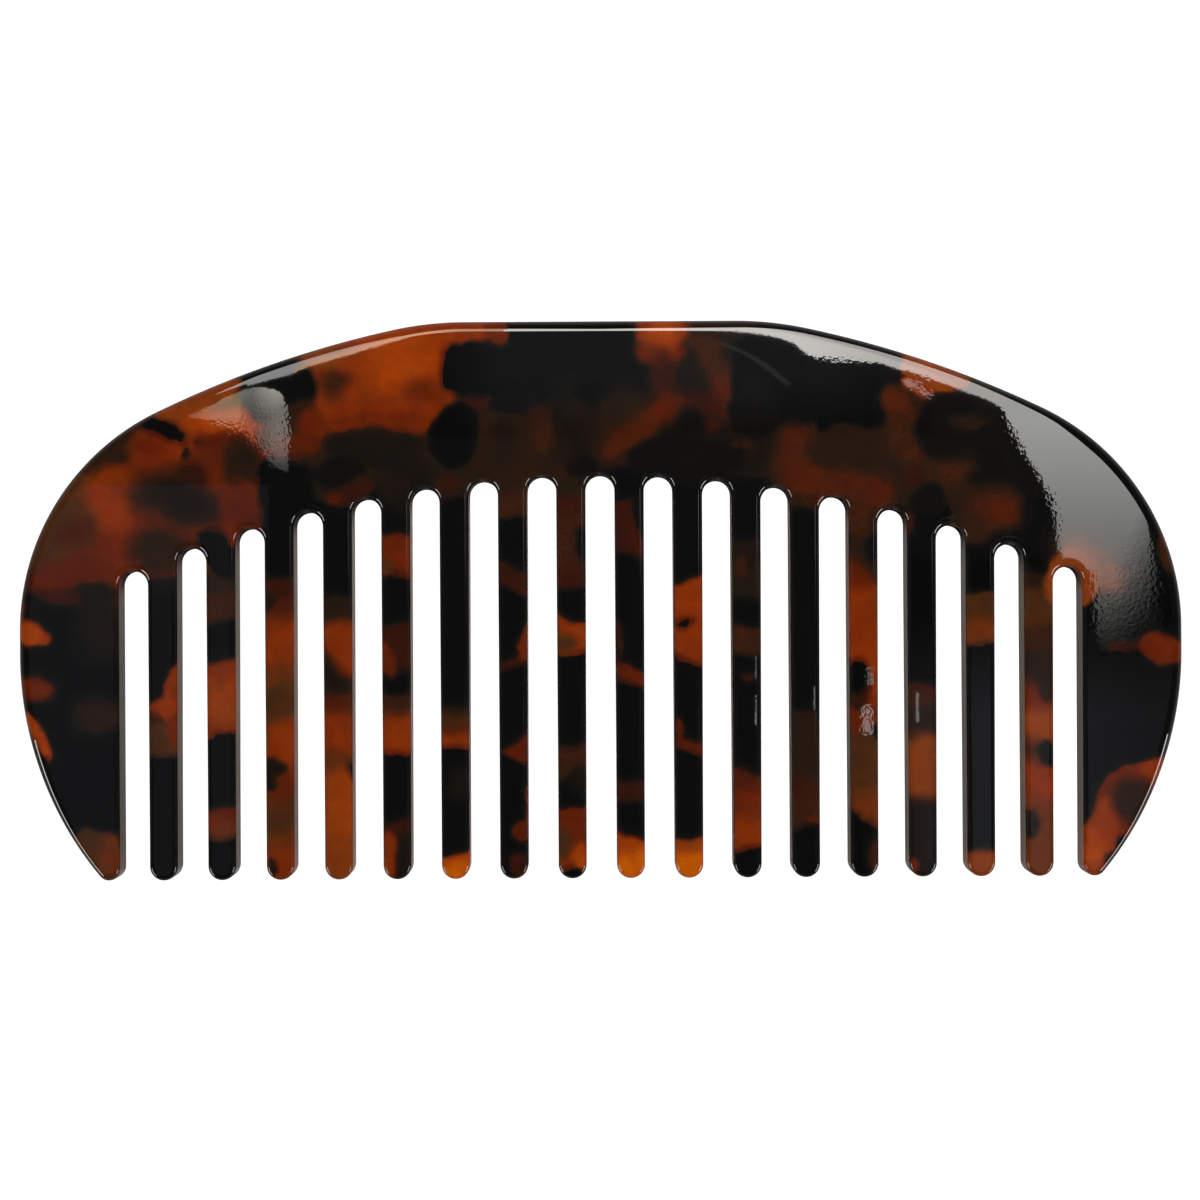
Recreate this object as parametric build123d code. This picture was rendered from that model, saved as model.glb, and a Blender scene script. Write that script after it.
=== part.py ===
from build123d import *
import os
from math import cos, radians, sin, sqrt

# Dressing comb, cut and buffed from one sheet. It lies flat: +X along its length, +Y from the teeth up to
# the spine, +Z through the sheet, and the origin is under its middle. All sizes are in millimetres.

# Sheet and overall size
COMB_LENGTH = 119.6
COMB_HEIGHT = 57.3
SHEET_THICKNESS = 4.0

# Teeth: every slot is one pass of a round-ended cutter
TOOTH_PITCH = 6.0
SLOT_WIDTH = 3.0
SLOT_COUNT = 17
ROOT_TOP_Y = 12.8  # top of the middle slot
ROOT_LINE_RADIUS = 124.0  # the slots' tops follow this arc, lowest at the two ends
GUARD_TIP_ROUND = 1.2  # inner corner of a guard tooth's tip

# Outline: crown, shoulders, sides, and the flanks that lean in to the guard tips
SHOULDER_RADIUS = 110.0
SIDE_RADIUS = 25.0
SIDE_CENTRE_Y = -3.0
SIDE_ARC_DEGREES = 64.4  # how far the side arc turns before the flatter shoulder takes over
FLANK_RADIUS = 35.6
FLANK_CENTRE_Y = -5.5
CROWN_CORNER_SOFTENING = 35.0  # blends the straight crown into the shoulders

# Edge breaks
RIM_ROUND = 1.0  # outer rim, both faces
TOOTH_EDGE_ROUND = 0.5  # slots and teeth, both faces

# Where the one piece is divided into nodes
CUT_BELOW_ROOT = 0.5  # each slim tooth starts this far below the round of its lower slot
GUARD_CUT_Y = (SIDE_CENTRE_Y + FLANK_CENTRE_Y) / 2  # on the short straight stretch of the side

TOP_Y = COMB_HEIGHT / 2
TIP_Y = -COMB_HEIGHT / 2
HALF_LENGTH = COMB_LENGTH / 2
SLOT_ROUND = SLOT_WIDTH / 2
TOOTH_WIDTH = TOOTH_PITCH - SLOT_WIDTH
TIP_ROUND = TOOTH_WIDTH / 2
TOOTH_COUNT = SLOT_COUNT - 1
LAST_SLOT_X = TOOTH_PITCH * (SLOT_COUNT - 1) / 2
GUARD_INNER_X = LAST_SLOT_X + SLOT_ROUND
SPARE = 6.0  # how far the helper shapes run past the comb


def slot_centres():
    return [TOOTH_PITCH * index - LAST_SLOT_X for index in range(SLOT_COUNT)]


def root_top(x):
    """Y of the top of the slot at x."""
    return ROOT_TOP_Y - ROOT_LINE_RADIUS + sqrt(ROOT_LINE_RADIUS**2 - x**2)


def flat_box(x_low, x_high, y_low, y_high):
    """A box through the whole sheet, with room above and below it."""
    centre = Pos((x_low + x_high) / 2, (y_low + y_high) / 2, SHEET_THICKNESS / 2)
    return centre * Box(x_high - x_low, y_high - y_low, SHEET_THICKNESS + 2 * SPARE)


def broken_edges(solid, radius, wanted):
    """Rounds the edges of the two flat faces for which wanted(x, y) holds at the edge's middle."""
    faces = solid.faces().filter_by(Axis.Z)
    edges = [edge for edge in faces.edges() if wanted((edge @ 0.5).X, (edge @ 0.5).Y)]
    return fillet(edges, radius)


def right_outline():
    """The right half's outer edge, from the crown's corner round to below the guard tip."""
    turn = radians(SIDE_ARC_DEGREES)
    side_x = HALF_LENGTH - SIDE_RADIUS
    join = (side_x + SIDE_RADIUS * cos(turn), SIDE_CENTRE_Y + SIDE_RADIUS * sin(turn))
    shoulder_centre = (join[0] - SHOULDER_RADIUS * cos(turn), join[1] - SHOULDER_RADIUS * sin(turn))
    rise = TOP_Y - shoulder_centre[1]
    crown_corner = (shoulder_centre[0] + sqrt(SHOULDER_RADIUS**2 - rise**2), TOP_Y)

    side_middle = radians(SIDE_ARC_DEGREES / 2)
    side_point = (side_x + SIDE_RADIUS * cos(side_middle), SIDE_CENTRE_Y + SIDE_RADIUS * sin(side_middle))
    bottom_y = TIP_Y - SPARE
    flank_x = HALF_LENGTH - FLANK_RADIUS
    flank_end = (flank_x + sqrt(FLANK_RADIUS**2 - (bottom_y - FLANK_CENTRE_Y) ** 2), bottom_y)
    flank_middle_y = (FLANK_CENTRE_Y + bottom_y) / 2
    flank_reach = sqrt(FLANK_RADIUS**2 - (flank_middle_y - FLANK_CENTRE_Y) ** 2)
    flank_point = (flank_x + flank_reach, flank_middle_y)
    return [
        Line((0, TOP_Y), crown_corner),
        RadiusArc(crown_corner, join, SHOULDER_RADIUS),
        ThreePointArc(join, side_point, (HALF_LENGTH, SIDE_CENTRE_Y)),
        Line((HALF_LENGTH, SIDE_CENTRE_Y), (HALF_LENGTH, FLANK_CENTRE_Y)),
        ThreePointArc((HALF_LENGTH, FLANK_CENTRE_Y), flank_point, flank_end),
        Line(flank_end, (0, bottom_y)),
    ]


def blank():
    """The sheet cut to the comb's outline and rounded along its rim, before any slot is sawn."""
    half = make_face(Wire(right_outline() + [Line((0, TIP_Y - SPARE), (0, TOP_Y))]))
    profile = half + mirror(half, Plane.YZ)
    crown_corners = [v for v in profile.vertices() if abs(v.Y - TOP_Y) < 1e-6 and abs(v.X) > 1]
    profile = fillet(crown_corners, CROWN_CORNER_SOFTENING)
    sheet = extrude(profile, SHEET_THICKNESS)
    return broken_edges(sheet, RIM_ROUND, lambda x, y: y > TIP_Y - SPARE / 2)


def toothed_sheet():
    """An oversize sheet with the slots, the full-round tooth tips and their edge breaks."""
    tip_centre_y = TIP_Y + TIP_ROUND
    far_x, far_y = HALF_LENGTH + SPARE, TOP_Y + SPARE
    profile = Pos(0, (far_y + tip_centre_y) / 2) * Rectangle(2 * far_x, far_y - tip_centre_y)
    for x in slot_centres():
        centre_y = root_top(x) - SLOT_ROUND
        bottom_y = TIP_Y - SPARE
        profile -= Pos(x, (centre_y + bottom_y) / 2) * Rectangle(SLOT_WIDTH, centre_y - bottom_y)
        profile -= Pos(x, centre_y) * Circle(SLOT_ROUND)
    for x in slot_centres()[:-1]:
        profile += Pos(x + TOOTH_PITCH / 2, tip_centre_y) * Circle(TIP_ROUND)
    guard = Pos((GUARD_INNER_X + far_x) / 2, TIP_Y / 2) * Rectangle(far_x - GUARD_INNER_X, -TIP_Y)
    inner_corner = guard.vertices().sort_by(Axis.Y)[:2].sort_by(Axis.X)[0]
    guard = fillet(inner_corner, GUARD_TIP_ROUND)
    profile += guard
    profile += mirror(guard, Plane.YZ)
    sheet = extrude(profile, SHEET_THICKNESS)
    return broken_edges(sheet, TOOTH_EDGE_ROUND, lambda x, y: abs(x) < far_x - 1 and y < TOP_Y)


def cut_height(left_slot, right_slot):
    """Where the tooth between two slots parts from the back, on its straight stretch."""
    return min(root_top(left_slot), root_top(right_slot)) - SLOT_ROUND - CUT_BELOW_ROOT


def tooth_boxes():
    """One box for each tooth, from its cut down past its tip."""
    slots = slot_centres()
    bottom_y = TIP_Y - SPARE
    far_x = HALF_LENGTH + SPARE
    boxes = {
        "left_guard_tooth": flat_box(-far_x, slots[0], bottom_y, GUARD_CUT_Y),
        "right_guard_tooth": flat_box(slots[-1], far_x, bottom_y, GUARD_CUT_Y),
    }
    for index in range(TOOTH_COUNT):
        left, right = slots[index], slots[index + 1]
        boxes[f"tooth_{index + 1:02d}"] = flat_box(left, right, bottom_y, cut_height(left, right))
    return boxes


comb = blank() & toothed_sheet()
boxes = tooth_boxes()
nodes = {name: comb & box for name, box in boxes.items()}
back = comb
for box in boxes.values():
    back -= box
nodes["comb_back"] = back

os.makedirs("parts", exist_ok=True)
for name, shape in nodes.items():
    solid = shape.solids()[0]
    solid.label = name
    export_step(solid, f"parts/{name}.step")
    print(name, round(solid.volume, 2), len(shape.solids()))
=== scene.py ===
import math
import bpy
import numpy as np
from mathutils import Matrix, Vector, kdtree, noise
from mathutils.geometry import delaunay_2d_cdt


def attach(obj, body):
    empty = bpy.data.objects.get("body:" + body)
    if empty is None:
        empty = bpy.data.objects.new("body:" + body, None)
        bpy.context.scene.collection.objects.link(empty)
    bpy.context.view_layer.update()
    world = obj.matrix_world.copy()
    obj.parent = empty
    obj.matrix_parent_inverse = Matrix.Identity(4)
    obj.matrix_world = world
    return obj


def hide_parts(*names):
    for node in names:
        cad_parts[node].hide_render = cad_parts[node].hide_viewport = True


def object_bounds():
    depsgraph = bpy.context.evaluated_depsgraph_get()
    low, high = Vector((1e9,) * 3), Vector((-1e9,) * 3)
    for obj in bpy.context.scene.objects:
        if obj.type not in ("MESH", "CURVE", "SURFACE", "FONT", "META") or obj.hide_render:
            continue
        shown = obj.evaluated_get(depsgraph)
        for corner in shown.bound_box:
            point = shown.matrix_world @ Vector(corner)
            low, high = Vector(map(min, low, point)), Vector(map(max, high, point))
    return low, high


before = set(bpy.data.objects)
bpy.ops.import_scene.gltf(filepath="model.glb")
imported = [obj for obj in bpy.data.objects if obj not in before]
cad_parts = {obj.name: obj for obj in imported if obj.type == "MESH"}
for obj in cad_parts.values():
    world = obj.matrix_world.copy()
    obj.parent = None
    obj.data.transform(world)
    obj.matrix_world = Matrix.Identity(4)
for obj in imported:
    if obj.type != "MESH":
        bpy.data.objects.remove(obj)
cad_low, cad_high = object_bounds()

# One-piece tortoiseshell comb. Each CAD node gets a polished skin of the same outline, with softly rolled
# edges and the listed tortoiseshell pattern. Lengths are millimetres until a mesh is made, and metres
# in every Blender object.
MM = 0.001

# ---------------------------------------------------------------- sizes, the same as the CAD model's
TOP_Y = cad_high.y / MM
TIP_Y = cad_low.y / MM
THICKNESS = (cad_high.z - cad_low.z) / MM
HALF_LENGTH = (cad_high.x - cad_low.x) / MM / 2

TOOTH_PITCH = 6.0
SLOT_ROUND = 1.5
SLOT_COUNT = 17
ROOT_TOP_Y = 12.8
ROOT_LINE_RADIUS = 124.0
LAST_SLOT_X = TOOTH_PITCH * (SLOT_COUNT - 1) / 2
GUARD_INNER_X = LAST_SLOT_X + SLOT_ROUND

SHOULDER_RADIUS = 110.0
SIDE_RADIUS = 25.0
SIDE_CENTRE = np.array([HALF_LENGTH - SIDE_RADIUS, -3.0])
SIDE_ARC_DEGREES = 64.4
FLANK_RADIUS = 35.6
FLANK_CENTRE = np.array([HALF_LENGTH - FLANK_RADIUS, -5.5])
CROWN_SOFTENING = 35.0
CUT_BELOW_ROOT = 0.5
GUARD_CUT_Y = (SIDE_CENTRE[1] + FLANK_CENTRE[1]) / 2

# Rolled edges: how far each comes in over the face, and how far it drops down the side.
RIM_ROLL = (1.15, 1.0)
TIP_ROLL = (0.75, 0.75)
SLOT_ROLL = (0.9, 0.8)
TOOTH_ROLL = (0.5, 0.5)
ROLL_FULLNESS = 2.15  # 2 is a plain quarter circle; more is squarer and runs out flatter into the face
ROLL_STEPS = 8
WALL_ROWS = 3
TIP_ROLL_FADE = 13.0  # up a guard tooth's flank, where the tip's roll grows into the rim's
TOOTH_NARROWING = 0.06  # each side of a tooth, from its root to its tip

EDGE_STEP = 0.3  # between points along an edge
FACE_STEP = 0.44  # between points on the broad faces
FACE_CLEARANCE = 0.55 * FACE_STEP  # kept between those points and the rolled edge
INSIDE_ONLY = 1  # the triangulation keeps no triangle outside the face
MERGE_DISTANCE = 1e-5


# ---------------------------------------------------------------- outlines
def ease(value, low=0.0, high=1.0):
    """0 below low, 1 above high, and smooth between."""
    t = np.clip((np.asarray(value, float) - low) / (high - low), 0.0, 1.0)
    return t * t * (3.0 - 2.0 * t)


def mixed(a, b, amount):
    """Two (in, down) roll pairs mixed, one row for each amount."""
    amount = np.asarray(amount, float)[:, None]
    return np.array(a) * (1.0 - amount) + np.array(b) * amount


def segment(points, normals, rolls):
    """Path rows: x, y, the outward normal's x and y, and the roll's reach in and down."""
    rolls = np.broadcast_to(np.asarray(rolls, float), (len(points), 2))
    return np.hstack([points, normals, rolls])


def straight(start, end, normal, roll):
    """A straight stretch of an edge with one outward normal."""
    start, end = np.asarray(start, float), np.asarray(end, float)
    count = max(2, math.ceil(np.linalg.norm(end - start) / EDGE_STEP) + 1)
    points = start + (end - start) * np.linspace(0.0, 1.0, count)[:, None]
    return segment(points, np.tile(np.asarray(normal, float), (count, 1)), roll)


def arc(centre, radius, start, end, roll, outward=1.0):
    """An arc from start to end degrees; outward is -1 where the material is outside the circle."""
    count = max(2, math.ceil(radius * math.radians(abs(end - start)) / EDGE_STEP) + 1)
    angles = np.radians(np.linspace(start, end, count))
    spokes = np.column_stack([np.cos(angles), np.sin(angles)])
    return segment(np.asarray(centre) + radius * spokes, outward * spokes, roll)


def joined(*segments):
    """Segments end to end, without repeating the points where they meet."""
    rows = [segments[0]] + [part[1:] for part in segments[1:]]
    return np.vstack(rows)


def mirrored(path):
    """The same edge on the other side of the comb, still with the material on its left."""
    return path[::-1] * np.array([-1.0, 1.0, -1.0, 1.0, 1.0, 1.0])


def degrees_of(vector):
    return math.degrees(math.atan2(vector[1], vector[0]))


def slot_centres():
    return [TOOTH_PITCH * index - LAST_SLOT_X for index in range(SLOT_COUNT)]


def slot_centre_y(x):
    """Height of the centre of the round that ends the slot at x."""
    return ROOT_TOP_Y - ROOT_LINE_RADIUS + math.sqrt(ROOT_LINE_RADIUS**2 - x**2) - SLOT_ROUND


def cut_height(left_slot, right_slot):
    """Where the tooth between two slots parts from the back."""
    return min(slot_centre_y(left_slot), slot_centre_y(right_slot)) - CUT_BELOW_ROOT


def rim_path():
    """The outer edge over the top, from the right guard's cut to the left guard's."""
    turn = math.radians(SIDE_ARC_DEGREES)
    spoke = np.array([math.cos(turn), math.sin(turn)])
    shoulder_centre = SIDE_CENTRE + spoke * (SIDE_RADIUS - SHOULDER_RADIUS)
    blend_y = TOP_Y - CROWN_SOFTENING
    reach = SHOULDER_RADIUS - CROWN_SOFTENING
    blend_x = shoulder_centre[0] + math.sqrt(reach**2 - (blend_y - shoulder_centre[1]) ** 2)
    blend_centre = np.array([blend_x, blend_y])
    blend_start = degrees_of(blend_centre - shoulder_centre)
    right = joined(
        straight((HALF_LENGTH, GUARD_CUT_Y), (HALF_LENGTH, SIDE_CENTRE[1]), (1, 0), RIM_ROLL),
        arc(SIDE_CENTRE, SIDE_RADIUS, 0, SIDE_ARC_DEGREES, RIM_ROLL),
        arc(shoulder_centre, SHOULDER_RADIUS, SIDE_ARC_DEGREES, blend_start, RIM_ROLL),
        arc(blend_centre, CROWN_SOFTENING, blend_start, 90, RIM_ROLL),
        straight((blend_x, TOP_Y), (0, TOP_Y), (0, 1), RIM_ROLL),
    )
    return joined(right, mirrored(right))


def slot_path(x, left_end_y, right_end_y):
    """Up a slot's left wall, over its round and down its right wall."""
    centre_y = slot_centre_y(x)
    left, right = x - SLOT_ROUND, x + SLOT_ROUND
    over = arc((x, centre_y), SLOT_ROUND, 180, 0, TOOTH_ROLL, outward=-1.0)
    over[:, 4:] = mixed(TOOTH_ROLL, SLOT_ROLL, ease(over[:, 1] - centre_y, 0.0, SLOT_ROUND))
    return joined(
        straight((left, left_end_y), (left, centre_y), (1, 0), TOOTH_ROLL),
        over,
        straight((right, centre_y), (right, right_end_y), (-1, 0), TOOTH_ROLL),
    )


def tooth_path(x, cut_y):
    """Down a tooth's left wall, round its tip and up its right wall, a little narrower at the tip."""
    tip_radius = SLOT_ROUND - TOOTH_NARROWING
    centre_y = TIP_Y + tip_radius
    left = straight((-SLOT_ROUND, cut_y), (-SLOT_ROUND, centre_y), (-1, 0), TOOTH_ROLL)
    left[:, 0] += TOOTH_NARROWING * ease(cut_y - left[:, 1], 0.0, cut_y - centre_y)
    right = mirrored(left)
    tip = arc((0, centre_y), tip_radius, 180, 360, TOOTH_ROLL)
    path = joined(left, tip, right)
    path[:, 0] += x
    return path


def guard_path():
    """Right guard tooth: down its inner wall, round its tip and up its curved flank to the cut."""
    across = GUARD_INNER_X - FLANK_CENTRE[0]
    down = TIP_Y - FLANK_CENTRE[1]
    half_b = across + down + FLANK_RADIUS
    tip_radius = -half_b + math.sqrt(half_b**2 - (across**2 + down**2 - FLANK_RADIUS**2))
    tip_centre = np.array([GUARD_INNER_X + tip_radius, TIP_Y + tip_radius])
    meeting = degrees_of(tip_centre - FLANK_CENTRE)
    tip = arc(tip_centre, tip_radius, 180, 360 + meeting, TOOTH_ROLL)
    tip[:, 4:] = mixed(TOOTH_ROLL, TIP_ROLL, np.linspace(0.0, 1.0, len(tip)))
    flank = arc(FLANK_CENTRE, FLANK_RADIUS, meeting, 0, RIM_ROLL)
    flank[:, 4:] = mixed(TIP_ROLL, RIM_ROLL, ease(flank[:, 1], tip_centre[1], tip_centre[1] + TIP_ROLL_FADE))
    return joined(
        straight((GUARD_INNER_X, GUARD_CUT_Y), (GUARD_INNER_X, tip_centre[1]), (-1, 0), TOOTH_ROLL),
        tip,
        flank,
        straight((HALF_LENGTH, FLANK_CENTRE[1]), (HALF_LENGTH, GUARD_CUT_Y), (1, 0), RIM_ROLL),
    )


def piece_edges():
    """Each node's edge as open paths; a flat cut closes the gap from each path to the next."""
    slots = slot_centres()
    cuts = [cut_height(left, right) for left, right in zip(slots, slots[1:])]
    ends = [GUARD_CUT_Y] + cuts + [GUARD_CUT_Y]
    back = [rim_path()]
    back += [slot_path(x, ends[index], ends[index + 1]) for index, x in enumerate(slots)]
    edges = {"comb_back": back}
    edges["right_guard_tooth"] = [guard_path()]
    edges["left_guard_tooth"] = [mirrored(guard_path())]
    for index, cut_y in enumerate(cuts):
        x = slots[index] + TOOTH_PITCH / 2
        edges[f"tooth_{index + 1:02d}"] = [tooth_path(x, cut_y)]
    return edges


# ---------------------------------------------------------------- tortoiseshell pattern
# What each colour of patch is: its depth of tone (0 the lightest clear amber to 1 black) and how olive it is.
COLOURS = {
    # painted glow: the lightest colour stands in for light shining through the thin tooth tips
    "painted_tip_glow": (0.02, 0.0),
    "bright": (0.20, 0.05),
    "gold": (0.23, 0.3),
    "amber": (0.31, 0.1),
    "honey": (0.28, 0.6),
    "tan": (0.40, 0.6),
    "dull": (0.44, 0.05),
    "red": (0.52, 0.0),
    "russet": (0.57, 0.3),
    "olive": (0.50, 1.0),
    "brown": (0.64, 0.6),
    "maroon": (0.69, 0.0),
    "umber": (0.77, 0.8),
    "deep": (0.88, 0.6),
    "black": (1.0, 0.5),
}
BASE_COLOUR = "umber"
CRISP = 0.15  # softness of a patch with a clean border; black patches as crisp as this are inlaid as ink
ROUND, SQUARISH = 2.0, 4.5  # powers that shape a patch's outline


def cloud(colour, x, y, half_length, half_width, turn=0.0, soft=0.7):
    """A round patch at (x, y), turned anticlockwise by degrees; soft is half the width of its border."""
    return colour, x, y, half_length, half_width, turn, soft, ROUND


def chip(colour, x, y, half_length, half_width, turn=0.0, soft=CRISP):
    """A squarish patch, clean-edged unless it is told otherwise."""
    return colour, x, y, half_length, half_width, turn, soft, SQUARISH


# Broad areas of the back and the guard teeth, under everything else.
GROUND = [
    cloud("dull", -46.0, 11.0, 15.0, 11.0, soft=2.0),
    cloud("umber", -13.0, 14.5, 18.0, 5.5, soft=1.5),
    cloud("deep", 8.0, 19.0, 12.0, 9.0, soft=2.0),
    chip("black", 51.0, 8.0, 11.0, 14.0),
    chip("black", -55.5, -13.8, 7.5, 14.4),
    chip("black", 55.5, -16.0, 7.5, 14.0),
]

# Teeth from the left: the bands down each one, as colour, height of the upper border and its slope.
# The last band on the sixth, ninth and tenth teeth is painted glow: light through the thin tip, put into the
# colour.
TOOTH_BANDS = [
    [("black", 2.6, 0), ("amber", -9.9, 0.25), ("deep", -11.4, 0), ("olive", -12.0, 0),
     ("black", -16.2, 0)],
    [("umber", 2.8, 0), ("brown", 0.8, 0), ("black", -2.3, 0.1), ("amber", -6.2, 0.1), ("gold", -8.0, 0),
     ("amber", -12.2, 0), ("black", -14.2, 0), ("dull", -21.2, 0.1), ("tan", -23.0, 0),
     ("black", -24.6, 0.1)],
    [("maroon", 2.3, 0), ("russet", 0.2, 0), ("amber", -2.0, 0.1), ("tan", -6.3, 0.1), ("olive", -8.3, 0.1),
     ("amber", -12.2, 0.1), ("dull", -17.5, 0), ("olive", -20.6, 0.2), ("tan", -23.8, 0.3),
     ("amber", -25.4, 0.2)],
    [("black", 10, 0), ("umber", 0.3, 0), ("amber", -2.0, 0), ("deep", -6.7, -0.8), ("russet", -9.3, 0),
     ("amber", -11.5, 0), ("tan", -15.2, 0.1), ("gold", -17.5, 0.1), ("honey", -24.5, 0.1)],
    [("black", 12, 0), ("dull", 6.8, 0.1), ("black", 2.6, -0.1), ("maroon", -2.3, 0.1), ("black", -7.9, 0.2),
     ("brown", -9.5, 0), ("amber", -11.4, 0.1), ("black", -15.9, 0.0), ("maroon", -22.2, 0.2),
     ("deep", -24.2, 0)],
    [("black", 10, 0), ("umber", -10.6, 0), ("olive", -11.6, 0), ("russet", -12.6, 0), ("amber", -13.6, 0),
     ("black", -15.3, -0.1), ("bright", -26.0, 0.35), ("painted_tip_glow", -26.9, 0.35)],
    [("brown", 13, 0), ("black", 8, 0), ("maroon", 3.6, -0.6), ("black", 0.6, -0.4), ("maroon", -6.0, 0.25),
     ("black", -7.6, 0.3), ("red", -14.3, 0.5), ("black", -16.4, -0.5)],
    [("maroon", 10.5, 0), ("brown", 9, 0), ("maroon", 3.2, 0), ("black", 1.2, 0.2), ("amber", -1.8, -0.4),
     ("black", -5.5, 0), ("brown", -14.8, 0.1), ("black", -18.2, 0.5), ("dull", -21.4, 0.1),
     ("amber", -25.6, 0), ("black", -27.7, 0.2)],
    [("black", 13, 0), ("maroon", 10.2, 0), ("black", 4.2, -0.5), ("red", -6.7, -0.42),
     ("black", -9.0, -0.42), ("maroon", -18.8, 0), ("black", -21.2, -0.1), ("bright", -24.2, -0.4),
     ("painted_tip_glow", -25.8, 0)],
    [("black", 12, 0), ("amber", 2.1, 0.3), ("black", -6.4, -0.65), ("red", -14.4, -0.3),
     ("black", -15.7, -0.5), ("gold", -24.2, -0.1), ("painted_tip_glow", -26.0, 0)],
    [("black", 12, 0), ("deep", 6.3, 0), ("umber", 3.3, 0), ("black", -0.4, 0), ("brown", -2.6, 0),
     ("black", -6.2, 0), ("russet", -17.6, -0.45), ("dull", -19.8, 0), ("amber", -22.4, 0),
     ("black", -25.8, 0.1)],
    [("black", 9, 0), ("umber", -11.8, 0), ("brown", -18.0, 0), ("black", -23.6, 0)],
    [("umber", 9.0, 0), ("dull", 3.2, -1.0), ("amber", 0.8, -0.3), ("dull", -10.4, 0), ("olive", -13.8, 0),
     ("tan", -20.0, 0.1), ("black", -22.9, -0.6)],
    [("black", 9, 0), ("maroon", -8.8, 0), ("brown", -9.5, 0), ("umber", -11.2, 0), ("honey", -14.1, 0),
     ("deep", -20.4, 0)],
    [("black", 6, 0), ("olive", 0.5, 0), ("tan", -2.3, 0), ("black", -5.2, 0), ("honey", -26.0, 0.1)],
    [("black", 8, 0), ("umber", 3.0, 0), ("olive", 1.0, 0), ("brown", -2.8, 0), ("umber", -5.6, 0.1),
     ("dull", -8.8, -0.5), ("honey", -11.3, 0), ("russet", -14.6, 0), ("amber", -17.0, -0.3),
     ("tan", -21.2, 0)],
]

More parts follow.
